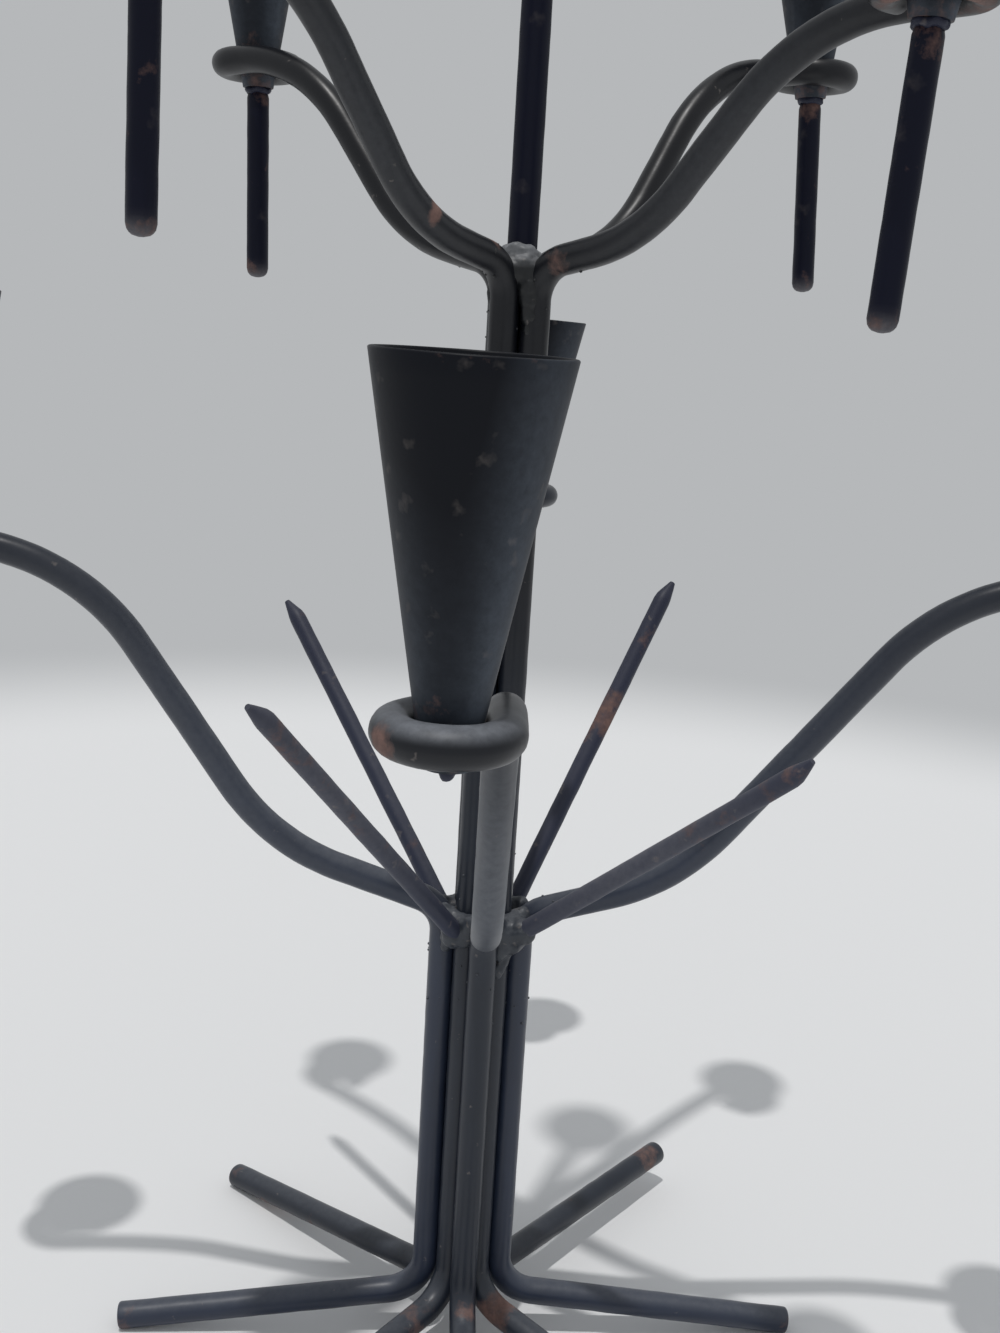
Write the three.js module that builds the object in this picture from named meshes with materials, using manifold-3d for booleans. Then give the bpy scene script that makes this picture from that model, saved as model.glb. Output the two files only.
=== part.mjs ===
import * as THREE from 'three';
import { mergeVertices } from 'three/addons/utils/BufferGeometryUtils.js';
import Module from 'manifold-3d';

// Wrought candelabra. Eight round bars stand in a bundle. Each one is bent out at the floor into a
// foot, and higher up into an arm that ends in a loop. Sheet cones stand in the loops and on the
// centre rod. Millimetres, +Z up, the origin on the floor under the stem.

// Stock
const BAR_DIAMETER = 9.5;
const SPIKE_DIAMETER = 6.35;
const DROP_DIAMETER = 8;
const SHEET = 1.2;
const CLEARANCE = 0.3;

// Feet, shared by all eight bars
const FOOT_REACH = 125;
const FOOT_SLOPE = 7;
const FOOT_BEND_RADIUS = 15;
const FOOT_FLAT = 4;

// Lower arms: the bend schedule of the four outer bars, upwards from the stem. The reach is measured
// from the middle of the stem to the middle of a loop.
const LOWER_REACH = 185.3;
const LOWER_BRANCH_HEIGHT = 157.5;
const LOWER_BRANCH_RADIUS = 13.3;
const LOWER_LEAD_SLOPE = 20;
const LOWER_RISE_RADIUS = 76;
const LOWER_CREST_RADIUS = 71;

// Upper arms: the bend schedule of the four core bars
const UPPER_REACH = 138;
const UPPER_BRANCH_HEIGHT = 374.5;
const UPPER_BRANCH_RADIUS = 13.3;
const UPPER_LEAD_SLOPE = 12;
const UPPER_RISE_RADIUS = 57;
const UPPER_CREST_RADIUS = 66.5;

// Hand-bent differences: how far each arm is swung from its foot, how much further it reaches, which
// share of its straight run leads out before the rise, how steeply it rises and how far it runs level
// to its loop. Some bars branch a little higher, some feet were bent and cut differently, and most
// cups lean, here towards +X. Turns, slopes and leans are in degrees.
const SIDES = {
  right: { armTurn: -12.9, more: 5.4, leadShare: 0.31, riseSlope: 53.3, level: 6.3, branchMore: -0.4 },
  back: { armTurn: -2.8, more: -0.1, leadShare: 0.51, riseSlope: 58.6, level: 6.6, cupLean: 2.4 },
  left: { armTurn: 2.1, more: -2, leadShare: 0.47, riseSlope: 56.3, level: 5.4, branchMore: 2.4 },
  front: { armTurn: -3.9, more: 0.3, leadShare: 0.49, riseSlope: 55.8, level: 8.7, cupLean: 0.8 },
};
const CORNERS = {
  back_right: { armTurn: -2, more: -0.6, leadShare: 0.35, riseSlope: 54.4, level: 7.8, cupLean: -3.7 },
  back_left: { armTurn: 2.7, more: -1.2, leadShare: 0.4, riseSlope: 48.9, level: 6.2, cupLean: -0.9 },
  front_left: { armTurn: 2.3, more: -1.8, leadShare: 0.36, riseSlope: 49.9, level: 1.5, cupLean: 0.9 },
  front_right: { armTurn: -1.7, more: 0.2, leadShare: 0.36, riseSlope: 48.4, level: 10.4, cupLean: 2.7 },
};
const OWN_FEET = {
  back_right: { footMore: 9.8, footTurn: 2.6, footSlope: 1.7 },
  back_left: { footMore: 5, footSlope: 6.7 },
};
const DROP_MORE = { back_right: -0.7, back_left: -2, front_left: -0.9, front_right: 4 };

// Each spike is swung a little from its corner, stands at its own slope and may start lower.
const SPIKES = {
  back_right: { turn: -2.6, slope: 55, drop: 0.2 },
  back_left: { turn: -1.9, slope: 46.7, drop: 7.4 },
  front_left: { turn: 2.4, slope: 45.5, drop: 0.8 },
  front_right: { turn: 1.8, slope: 39.8, drop: 2.3 },
};

// Loops
const LOOP_BORE = 14.5;
const LOOP_END_GAP = 1;

// Cups
const CUP_RIM_DIAMETER = 42;
const CUP_END_DIAMETER = 11;
const CUP_HEIGHT = 85;
const CUP_TIP_DIAMETER = 3.6;
const CUP_TIP_CHAMFER = 0.6;
const CUP_TIP_LENGTH = 2.6;

// Rods and spikes
const DROP_LENGTH = 69;
const DROP_CHAMFER = 1.4;
const ROD_LENGTH = 269;
const SPIKE_LENGTH = 136.5;
const SPIKE_ABOVE_BRANCH = 7;
const SPIKE_POINT_LENGTH = 8;
const SPIKE_POINT_DIAMETER = 1.6;

// Weld metal
const WELD_RADIUS = 5.8;
const WELD_DROP = 3;
const WELD_OUTSET = 1.8;
const CROWN_BASE_RADIUS = 7.4;
const CROWN_BULGE_RADIUS = 8.4;
const CROWN_BULGE_HEIGHT = 3;
const CROWN_NECK_RADIUS = 5.8;
const CROWN_HEIGHT = 8.5;

// Facets
const BAR_SIDES = 10;
const CUP_SIDES = 24;
const ROD_SIDES = 12;
const FOOT_BEND_STEPS = 6;
const BRANCH_STEPS = 5;
const RISE_STEPS = 4;
const CREST_STEPS = 6;
const LOOP_STEPS = 16;
const BEAD_SIDES = 14;
const BEAD_RINGS = 10;
const WELDED_VERTICES = 1e-3;

const radians = THREE.MathUtils.degToRad;
const quarter = Math.PI / 2;
const eighth = Math.PI / 4;
const barRadius = BAR_DIAMETER / 2;
const spikeRadius = SPIKE_DIAMETER / 2;
const dropRadius = DROP_DIAMETER / 2;
const spikeHeight = LOWER_BRANCH_HEIGHT + SPIKE_ABOVE_BRANCH;

// Four core bars stand in a square, and each outer bar nests between two of them.
const coreOffset = (BAR_DIAMETER + CLEARANCE) / 2;
const coreRadius = coreOffset * Math.SQRT2;
const outerRadius = coreOffset + Math.sqrt((BAR_DIAMETER + CLEARANCE) ** 2 - coreOffset ** 2);

// The loop stops where its outer corner comes up to the side of its own arm.
const loopRadius = LOOP_BORE / 2 + barRadius;
const loopOpening = Math.acos((loopRadius - barRadius - LOOP_END_GAP) / (loopRadius + barRadius));
const loopTurn = 2 * Math.PI - loopOpening;

// A cone wedges in its loop at the level where its wall meets the round of the bar.
const cupTaper = Math.atan((CUP_RIM_DIAMETER - CUP_END_DIAMETER) / 2 / CUP_HEIGHT);
const seatRadius = loopRadius - (barRadius + CLEARANCE) / Math.cos(cupTaper);
const cupSink = (seatRadius - CUP_END_DIAMETER / 2) / Math.tan(cupTaper);

const paint = new THREE.MeshStandardMaterial({ color: 0x24282d, roughness: 0.45, metalness: 0.35 });
const cupPaint = new THREE.MeshStandardMaterial({ color: 0x1d2226, roughness: 0.4, metalness: 0.35 });
const wornPaint = new THREE.MeshStandardMaterial({ color: 0x332d2b, roughness: 0.6, metalness: 0.4 });
const weldMetal = new THREE.MeshStandardMaterial({ color: 0x4a4d50, roughness: 0.7, metalness: 0.6 });

// Centre line of a bar, laid out like a bending schedule: straights, bends in an upright plane and
// a level loop. The plane can be swung where the bar stands upright. Only the stations are sampled,
// so a straight needs just its two ends.
const up = new THREE.Vector3(0, 0, 1);

class BendSchedule extends THREE.Curve {
  constructor(start, outward, heading) {
    super();
    this.outward = outward;
    this.heading = heading;
    this.points = [start];
    this.tangents = [this.along(heading)];
  }

  get end() {
    return this.points[this.points.length - 1];
  }

  along(heading) {
    const level = this.outward.clone().multiplyScalar(Math.cos(heading));
    return level.addScaledVector(up, Math.sin(heading));
  }

  add(point, tangent) {
    this.points.push(point);
    this.tangents.push(tangent);
  }

  straight(length) {
    const tangent = this.along(this.heading);
    this.add(this.end.clone().addScaledVector(tangent, length), tangent);
    return this;
  }

  bendTo(heading, radius, steps) {
    const side = Math.sign(heading - this.heading) * radius;
    const centre = this.end.clone().addScaledVector(this.along(this.heading + quarter), side);
    for (let step = 1; step <= steps; step += 1) {
      const angle = THREE.MathUtils.lerp(this.heading, heading, step / steps);
      const point = centre.clone().addScaledVector(this.along(angle - quarter), side);
      this.add(point, this.along(angle));
    }
    this.heading = heading;
    return this;
  }

  swing(turn) {
    this.outward.applyAxisAngle(up, turn);
    return this;
  }

  // Clockwise as seen from above
  wind(turn, radius, steps) {
    const right = this.outward.clone().cross(up);
    const centre = this.end.clone().addScaledVector(right, radius);
    for (let step = 1; step <= steps; step += 1) {
      const angle = (turn * step) / steps;
      const tangent = this.outward.clone().applyAxisAngle(up, -angle);
      this.add(centre.clone().addScaledVector(tangent.clone().cross(up), -radius), tangent);
    }
    return centre;
  }

  getUtoTmapping(u) {
    return u;
  }

  getPoint(t, target = new THREE.Vector3()) {
    const place = t * (this.points.length - 1);
    const before = Math.min(Math.floor(place + 1e-6), this.points.length - 2);
    return target.lerpVectors(this.points[before], this.points[before + 1], place - before);
  }

  getTangent(t, target = new THREE.Vector3()) {
    return target.copy(this.tangents[Math.round(t * (this.tangents.length - 1))]);
  }
}

// A foot slopes down from the stem to its tip. The tip's underside starts a little below the floor,
// where it is then ground flat. A foot bent less than the others stops clear of the floor.
const apothem = barRadius * Math.cos(Math.PI / BAR_SIDES);
const commonSlope = radians(FOOT_SLOPE);
const ground = apothem * Math.cos(commonSlope) - FOOT_FLAT * Math.tan(commonSlope);

function footRun(reach, slope) {
  return reach - FOOT_BEND_RADIUS * (1 - Math.sin(slope));
}

function startAtFoot(stemRadius, { footMore = 0, footTurn = 0, footSlope = FOOT_SLOPE }) {
  const slope = radians(footSlope);
  const commonReach = FOOT_REACH - stemRadius;
  const run = footRun(commonReach + footMore, slope);
  const lift = footRun(commonReach, commonSlope) * Math.tan(commonSlope) - run * Math.tan(slope);
  const outward = new THREE.Vector3(1, 0, 0).applyAxisAngle(up, radians(footTurn));
  const tip = new THREE.Vector3(stemRadius, 0, ground + lift);
  tip.addScaledVector(outward, commonReach + footMore);
  const course = new BendSchedule(tip, outward, Math.PI - slope);
  course.straight(run / Math.cos(slope));
  course.bendTo(quarter, FOOT_BEND_RADIUS, FOOT_BEND_STEPS);
  course.swing(radians(-footTurn));
  return course;
}

// What the bends and the level leave of an arm's reach is its straight run, split between the lead
// and the rise.
function barCourse(stemRadius, arm) {
  const lead = radians(arm.leadSlope);
  const rise = radians(arm.riseSlope);
  const branchRun = arm.branchRadius * (1 - Math.sin(lead));
  const riseRun = arm.riseRadius * (Math.sin(rise) - Math.sin(lead));
  const crestRun = arm.crestRadius * Math.sin(rise);
  const straightRun = arm.reach - stemRadius - branchRun - riseRun - crestRun - arm.level;

  const course = startAtFoot(stemRadius, arm);
  course.straight(arm.branchHeight - course.end.z);
  course.swing(radians(arm.armTurn));
  course.bendTo(lead, arm.branchRadius, BRANCH_STEPS);
  course.straight((straightRun * arm.leadShare) / Math.cos(lead));
  course.bendTo(rise, arm.riseRadius, RISE_STEPS);
  course.straight((straightRun * (1 - arm.leadShare)) / Math.cos(rise));
  course.bendTo(0, arm.crestRadius, CREST_STEPS);
  course.straight(arm.level);
  const loopCentre = course.wind(loopTurn, loopRadius, LOOP_STEPS);
  return { course, loopCentre };
}

function lowerBar(bends) {
  return barCourse(outerRadius, {
    ...bends,
    reach: LOWER_REACH + bends.more,
    branchHeight: LOWER_BRANCH_HEIGHT + (bends.branchMore ?? 0),
    branchRadius: LOWER_BRANCH_RADIUS,
    leadSlope: LOWER_LEAD_SLOPE,
    riseRadius: LOWER_RISE_RADIUS,
    crestRadius: LOWER_CREST_RADIUS,
  });
}

function upperBar(bends) {
  return barCourse(coreRadius, {
    ...bends,
    reach: UPPER_REACH + bends.more,
    branchHeight: UPPER_BRANCH_HEIGHT,
    branchRadius: UPPER_BRANCH_RADIUS,
    leadSlope: UPPER_LEAD_SLOPE,
    riseRadius: UPPER_RISE_RADIUS,
    crestRadius: UPPER_CREST_RADIUS,
  });
}

const wasm = await Module();
wasm.setup();

function toSolid(geometry) {
  const bare = geometry.clone();
  bare.deleteAttribute('normal');
  bare.deleteAttribute('uv');
  const merged = mergeVertices(bare, WELDED_VERTICES);
  const corners = merged.index.array;
  const kept = [];
  for (let i = 0; i < corners.length; i += 3) {
    const [a, b, c] = [corners[i], corners[i + 1], corners[i + 2]];
    if (a !== b && b !== c && c !== a) {
      kept.push(a, b, c);
    }
  }
  return new wasm.Manifold(
    new wasm.Mesh({
      numProp: 3,
      vertProperties: new Float32Array(merged.attributes.position.array),
      triVerts: new Uint32Array(kept),
    }),
  );
}

function toGeometry(solid) {
  const mesh = solid.getMesh();
  const geometry = new THREE.BufferGeometry();
  geometry.setAttribute('position', new THREE.BufferAttribute(mesh.vertProperties, 3));
  geometry.setIndex(new THREE.BufferAttribute(mesh.triVerts, 1));
  geometry.computeVertexNormals();
  return geometry;
}

// A flat of the section faces down, so a foot lies on a facet and not on an edge.
function sweep(course, radius) {
  const section = new THREE.Shape();
  for (let side = 0; side < BAR_SIDES; side += 1) {
    const angle = (2 * Math.PI * side) / BAR_SIDES;
    const corner = [radius * Math.cos(angle), radius * Math.sin(angle)];
    if (side === 0) {
      section.moveTo(...corner);
    } else {
      section.lineTo(...corner);
    }
  }
  return new THREE.ExtrudeGeometry(section, {
    steps: course.points.length - 1,
    extrudePath: course,
    bevelEnabled: false,
  });
}

// Turned pieces have their axis along +Z and their first profile point at the bottom.
function turned(profile, sides) {
  const points = profile.map(([radius, height]) => new THREE.Vector2(radius, height));
  return new THREE.LatheGeometry(points, sides).rotateX(Math.PI / 2);
}

function groundBar(course) {
  const tip = course.points[0];
  const block = new THREE.BoxGeometry(4 * FOOT_FLAT, 2 * BAR_DIAMETER, BAR_DIAMETER);
  block.translate(tip.x, tip.y, -BAR_DIAMETER / 2);
  return toGeometry(toSolid(sweep(course, barRadius)).subtract(toSolid(block)));
}

// Sheet cone, open at the rim and closed at the narrow end. The wall is measured square to itself.
const wallAcross = SHEET / Math.cos(cupTaper);
const innerEnd = CUP_END_DIAMETER / 2 + SHEET * Math.tan(cupTaper) - wallAcross;
const cupGeometry = turned(
  [
    [0, 0],
    [CUP_END_DIAMETER / 2, 0],
    [CUP_RIM_DIAMETER / 2, CUP_HEIGHT],
    [CUP_RIM_DIAMETER / 2 - wallAcross, CUP_HEIGHT],
    [innerEnd, SHEET],
    [0, SHEET],
  ],
  CUP_SIDES,
);

function dropGeometry(length) {
  return turned(
    [
      [0, -length],
      [dropRadius - DROP_CHAMFER, -length],
      [dropRadius, DROP_CHAMFER - length],
      [dropRadius, 0],
      [0, 0],
    ],
    ROD_SIDES,
  );
}

const tipRadius = CUP_TIP_DIAMETER / 2;
const cupTipGeometry = turned(
  [
    [0, -CUP_TIP_LENGTH],
    [tipRadius - CUP_TIP_CHAMFER, -CUP_TIP_LENGTH],
    [tipRadius, CUP_TIP_CHAMFER - CUP_TIP_LENGTH],
    [tipRadius, 0],
    [0, 0],
  ],
  ROD_SIDES,
);

const spikeGeometry = turned(
  [
    [0, 0],
    [spikeRadius, 0],
    [spikeRadius, SPIKE_LENGTH - SPIKE_POINT_LENGTH],
    [SPIKE_POINT_DIAMETER / 2, SPIKE_LENGTH],
    [0, SPIKE_LENGTH],
  ],
  ROD_SIDES,
);

// The centre rod drops between the upper arms until their inner sides are its own width apart.
const throat = (coreRadius + UPPER_BRANCH_RADIUS - barRadius - CLEARANCE) / (UPPER_BRANCH_RADIUS + barRadius);
const rodFoot = UPPER_BRANCH_HEIGHT + (UPPER_BRANCH_RADIUS + barRadius) * Math.sin(Math.acos(throat));
const rodTop = rodFoot + ROD_LENGTH;
const rodGeometry = new THREE.CylinderGeometry(barRadius, barRadius, ROD_LENGTH, ROD_SIDES);
rodGeometry.rotateX(Math.PI / 2);

// A spike's cut end leans on the outside of a core bar.
function spikeRoot(spike) {
  const outset = coreRadius + barRadius + CLEARANCE + spikeRadius * Math.sin(radians(spike.slope));
  return new THREE.Vector3(outset, 0, spikeHeight - spike.drop);
}

const looseBar = barRadius + CLEARANCE;

// A bead of weld fills each corner between two lower arms, a core bar and the root of a spike.
function cornerWeld(bars, spike) {
  const slope = radians(spike.slope);
  const root = spikeRoot(spike);
  const looseSpike = new THREE.CylinderGeometry(
    spikeRadius + CLEARANCE,
    spikeRadius + CLEARANCE,
    SPIKE_LENGTH + 2 * CLEARANCE,
    ROD_SIDES,
  );
  looseSpike.rotateX(quarter);
  looseSpike.translate(0, 0, SPIKE_LENGTH / 2);
  looseSpike.rotateY(quarter - slope);
  looseSpike.translate(root.x, root.y, root.z);
  looseSpike.rotateZ(radians(spike.turn));
  const bead = new THREE.SphereGeometry(WELD_RADIUS, BEAD_SIDES, BEAD_RINGS);
  bead.translate(root.x + WELD_OUTSET, 0, root.z - WELD_DROP);
  const cutters = [...bars, looseSpike];
  return toGeometry(cutters.reduce((weld, cutter) => weld.subtract(toSolid(cutter)), toSolid(bead)));
}

// A crown of weld holds the centre rod in the fork of the upper arms.
const looseRod = rodGeometry.clone();
looseRod.scale(looseBar / barRadius, looseBar / barRadius, 1 + (2 * CLEARANCE) / ROD_LENGTH);
looseRod.translate(0, 0, rodFoot + ROD_LENGTH / 2);
const crown = turned(
  [
    [0, 0],
    [CROWN_BASE_RADIUS, 0],
    [CROWN_BULGE_RADIUS, CROWN_BULGE_HEIGHT],
    [CROWN_NECK_RADIUS, CROWN_HEIGHT],
    [0, CROWN_HEIGHT],
  ],
  CUP_SIDES,
);
crown.translate(0, 0, rodFoot);
let crownSolid = toSolid(crown).subtract(toSolid(looseRod));

function piece(name, geometry, material, position = new THREE.Vector3()) {
  const mesh = new THREE.Mesh(geometry, material);
  mesh.name = name;
  mesh.position.copy(position);
  return mesh;
}

// A cup and what is fixed under it lean as one in the loop. The tier that holds them is turned, so
// the lean's axis is turned back.
function leaningCup(bar, turn, lean, name, under) {
  const stand = new THREE.Group();
  stand.position.copy(bar.loopCentre);
  const axis = new THREE.Vector3(0, 1, 0).applyAxisAngle(up, -turn);
  stand.setRotationFromAxisAngle(axis, radians(lean));
  under.position.z = -cupSink - CLEARANCE;
  stand.add(piece(name, cupGeometry, cupPaint, new THREE.Vector3(0, 0, -cupSink)), under);
  return stand;
}

const candelabra = new THREE.Group();

// Lower tier: one bar, its cup and the cup's tip on each side
const lowerBars = Object.values(SIDES).map(lowerBar);
Object.keys(SIDES).forEach((side, turn) => {
  const tier = new THREE.Group();
  tier.rotation.z = quarter * turn;
  const bar = lowerBars[turn];
  const lean = SIDES[side].cupLean ?? 0;
  const cupTip = piece(`lower_cup_tip_${side}`, cupTipGeometry, wornPaint);
  tier.add(piece(`lower_bar_${side}`, groundBar(bar.course), paint));
  tier.add(leaningCup(bar, tier.rotation.z, lean, `lower_cup_${side}`, cupTip));
  candelabra.add(tier);
});

// Upper tier on the diagonals: a bar, its cup, the drop rod under it, a spike and the corner weld
Object.entries(CORNERS).forEach(([corner, bends], turn) => {
  const tier = new THREE.Group();
  tier.rotation.z = eighth + quarter * turn;
  const bar = upperBar({ ...bends, ...OWN_FEET[corner] });
  const drop = piece(`drop_rod_${corner}`, dropGeometry(DROP_LENGTH + DROP_MORE[corner]), paint);
  tier.add(piece(`upper_bar_${corner}`, groundBar(bar.course), paint));
  tier.add(leaningCup(bar, tier.rotation.z, bends.cupLean, `upper_cup_${corner}`, drop));

  const spike = piece(`spike_${corner}`, spikeGeometry, wornPaint, spikeRoot(SPIKES[corner]));
  spike.rotation.y = quarter - radians(SPIKES[corner].slope);
  const swing = new THREE.Group();
  swing.rotation.z = radians(SPIKES[corner].turn);
  swing.add(spike);
  tier.add(swing);

  const looseUpper = sweep(bar.course, looseBar);
  const looseBefore = sweep(lowerBars[turn].course, looseBar).rotateZ(-eighth);
  const looseAfter = sweep(lowerBars[(turn + 1) % lowerBars.length].course, looseBar).rotateZ(eighth);
  const weld = cornerWeld([looseUpper, looseBefore, looseAfter], SPIKES[corner]);
  tier.add(piece(`corner_weld_${corner}`, weld, weldMetal));
  crownSolid = crownSolid.subtract(toSolid(looseUpper.clone().rotateZ(tier.rotation.z)));
  candelabra.add(tier);
});

// Centre: the rod, its crown of weld and the top cup
candelabra.add(piece('centre_rod', rodGeometry, paint, new THREE.Vector3(0, 0, rodFoot + ROD_LENGTH / 2)));
candelabra.add(piece('crown_weld', toGeometry(crownSolid), weldMetal));
candelabra.add(piece('top_cup', cupGeometry, cupPaint, new THREE.Vector3(0, 0, rodTop + CLEARANCE)));

export default candelabra;
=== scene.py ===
# %% [markdown]
# # Dressing a wrought candelabra
# Eight round bars stand in a bundle. They spread into feet at the floor and into looped arms higher up,
# and sheet cones for candles stand in the loops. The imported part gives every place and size. This lesson
# puts a finer surface over each of its solids, paints it, and sets it on a pale floor. Lengths on the
# object are written in millimetres, and MM turns them into Blender's metres.

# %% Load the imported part
import math

import bmesh
import bpy
import numpy as np
from mathutils import Matrix, Vector, noise
from mathutils.bvhtree import BVHTree


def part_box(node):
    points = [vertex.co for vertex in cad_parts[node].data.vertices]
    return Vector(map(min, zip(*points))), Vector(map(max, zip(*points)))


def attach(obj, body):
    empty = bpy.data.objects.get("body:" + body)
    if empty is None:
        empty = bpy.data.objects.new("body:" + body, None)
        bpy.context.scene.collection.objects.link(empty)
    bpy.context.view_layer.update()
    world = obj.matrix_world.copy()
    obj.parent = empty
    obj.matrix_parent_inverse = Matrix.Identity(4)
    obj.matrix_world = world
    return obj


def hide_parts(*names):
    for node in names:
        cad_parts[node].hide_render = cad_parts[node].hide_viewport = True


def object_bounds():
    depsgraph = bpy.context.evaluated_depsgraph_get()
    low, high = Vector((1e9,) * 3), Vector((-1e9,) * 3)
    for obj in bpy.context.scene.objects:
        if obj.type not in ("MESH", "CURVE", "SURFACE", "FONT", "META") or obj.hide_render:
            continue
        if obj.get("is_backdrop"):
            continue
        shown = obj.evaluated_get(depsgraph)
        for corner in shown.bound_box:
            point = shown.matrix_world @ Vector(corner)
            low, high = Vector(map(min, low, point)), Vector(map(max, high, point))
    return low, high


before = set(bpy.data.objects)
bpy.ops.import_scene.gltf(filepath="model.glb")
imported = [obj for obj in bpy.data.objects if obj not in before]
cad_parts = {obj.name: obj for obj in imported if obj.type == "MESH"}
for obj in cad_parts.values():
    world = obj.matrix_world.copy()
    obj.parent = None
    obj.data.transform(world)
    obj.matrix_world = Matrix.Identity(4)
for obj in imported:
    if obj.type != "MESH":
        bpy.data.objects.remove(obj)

cad_low, cad_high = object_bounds()
MM = 0.001
cad_size = [round(side / MM, 1) for side in cad_high - cad_low]
print("CAD nodes:", len(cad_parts), "size in mm:", cad_size)

# %% [markdown]
# ## Colours and nodes
# Paint makers give colours as sRGB hex values, but shader sockets take linear light, so one function
# turns the first into the second. Another adds any node, with its settings as keywords and its inputs as
# a dictionary. An input takes a plain value, a socket or a whole node, which feeds it from the first of
# its outputs that is in use.

# %% Colours and nodes


def linear(hex_colour):
    """An sRGB hex colour as the linear RGBA that a socket takes."""
    shares = [int(hex_colour[i:i + 2], 16) / 255 for i in (1, 3, 5)]
    light = [s / 12.92 if s <= 0.04045 else ((s + 0.055) / 1.055) ** 2.4 for s in shares]
    return (*light, 1.0)


def feed(tree, node, inputs):
    """Sets or links inputs, which are found by identifier first, then by name or number."""
    known = {socket.identifier: socket for socket in node.inputs}
    for key, value in inputs.items():
        socket = known[key] if key in known else node.inputs[key]
        if isinstance(value, bpy.types.Node):
            value = next(source for source in value.outputs if source.enabled)
        if isinstance(value, bpy.types.NodeSocket):
            tree.links.new(value, socket)
        else:
            socket.default_value = value


def add_node(tree, kind, inputs=None, **settings):
    """Adds a node with its settings, and feeds it."""
    node = tree.nodes.new(kind)
    for name, value in settings.items():
        setattr(node, name, value)
    feed(tree, node, inputs or {})
    return node


print("black enamel #1b1e22 in linear light:", [round(c, 4) for c in linear("#1b1e22")])

# %% [markdown]
# ## The finish: satin enamel over mild steel
# The whole thing was brushed with one satin black enamel. It is still black and tight high up and grey
# lower down, partly where dust and splashes reach and partly as painted bounce light from the floor, which
# leaves painted shade high up. It has chalked on faces that look up, a grey film and painted sheen lie on
# some faces, and it has lifted over brown rust where it was knocked. Each of these is a layer with a
# function of its own, so that the six finishes made from them differ only in a few named amounts. Six
# separate materials would drift apart. Dry enamel bends light like other resins, with an index of about 1.5.
# That is the shader's own value and is left as it is, and satin stands for a roughness of about 0.35 to 0.5.
#
# The layers read the same patterns: three-dimensional noise in object space, with a grain in millimetres.
# Three point attributes, painted on each piece later, say where rust gathers (wear), where dust has
# settled on top (dust) and where the surface is lightened all round, partly by a grey film and partly as
# painted sheen: a painted reflection of the bright floor on the cups and on the fronts of the upper front
# arms.

# %% Patterns that the layers share
# Grain in millimetres, detail and roughness of each noise. Real dust and the real peel of brushed paint
# are finer than this grit and this peel, which are drawn coarser because the real ones wouldn't show.
NOISES = {
    "cloud": (24.0, 5.0, 0.6),
    "grit": (2.5, 5.0, 0.65),
    "wander": (2.5, 2.0, 0.5),
    "scab": (7.0, 6.0, 0.65),
    "peel": (1.6, 3.0, 0.5),
}
# Between these heights the paint turns paler downwards: partly greyed paint where dust and splashes reach,
# partly painted bounce light from the floor, which leaves painted shade high up.
GREY_TOP = 315.0
GREY_BASE = 190.0
GRIT_LOW = 0.25
GRIT_HIGH = 0.75
LEAST_COVER = 0.5
MOST_COVER = 0.95


def per_metre(grain):
    """Texture scale for a grain in millimetres, because object coordinates are in metres."""
    return 1 / (grain * MM)


def shared_patterns(tree):
    """What the layers read: place, painted attributes, noises, nearness to the floor, uneven cover."""
    place = add_node(tree, "ShaderNodeTexCoord").outputs["Object"]
    patterns = {"place": place}
    for name in ("wear", "dust", "film_and_sheen"):
        patterns[name] = add_node(tree, "ShaderNodeAttribute", attribute_name=name).outputs["Fac"]
    for name, (grain, detail, roughness) in NOISES.items():
        patterns[name] = add_node(tree, "ShaderNodeTexNoise", {
            "Vector": place, "Scale": per_metre(grain), "Detail": detail, "Roughness": roughness})
    # Paler low down: partly dust and splashes, partly painted bounce light from the floor.
    height = add_node(tree, "ShaderNodeSeparateXYZ", {"Vector": place}).outputs["Z"]
    patterns["low_down"] = add_node(tree, "ShaderNodeMapRange", {
        "Value": height, "From Min": GREY_TOP * MM, "From Max": GREY_BASE * MM},
        interpolation_type="SMOOTHSTEP")
    patterns["patches"] = add_node(tree, "ShaderNodeMapRange", {
        "Value": patterns["grit"], "From Min": GRIT_LOW, "From Max": GRIT_HIGH,
        "To Min": LEAST_COVER, "To Max": MOST_COVER})
    return patterns


# %% [markdown]
# The lowest layer is the paint itself. It turns from black to grey over a span of the stem, partly as greyed
# paint and partly as painted bounce light from the floor, with painted shade higher up. The broad clouds
# break the change up, so that no level line shows.

# %% Layer 1: black that greys low down, partly painted bounce light
LEAST_GREY = 0.7
CLOUD_LOW = 0.3
CLOUD_HIGH = 0.7


def greyed_and_bounce_lit(tree, patterns, fresh, grey):
    """Black high up and grey low down: partly greyed paint, partly painted bounce light from the floor."""
    mottle = add_node(tree, "ShaderNodeMapRange", {
        "Value": patterns["cloud"], "From Min": CLOUD_LOW, "From Max": CLOUD_HIGH, "To Min": LEAST_GREY})
    share = add_node(tree, "ShaderNodeMath", {0: patterns["low_down"], 1: mottle}, operation="MULTIPLY")
    return add_node(tree, "ShaderNodeMix", {
        "Factor_Float": share, "A_Color": linear(fresh), "B_Color": linear(grey)}, data_type="RGBA")


# %% [markdown]
# Chalk and dust lie where they can settle. The normal tells how far a face looks up, low parts are
# chalkier than high ones, partly as painted bounce light from the floor, and the dust attribute adds to
# that. Film and painted sheen cling to any face, so they are added after. Patches of grit keep the
# cover uneven.

# %% Layer 2: chalk, dust, film and painted sheen
TOP_CHALK = 0.3
UPWARD_FROM = 0.2
UPWARD_FULL = 0.95


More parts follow.
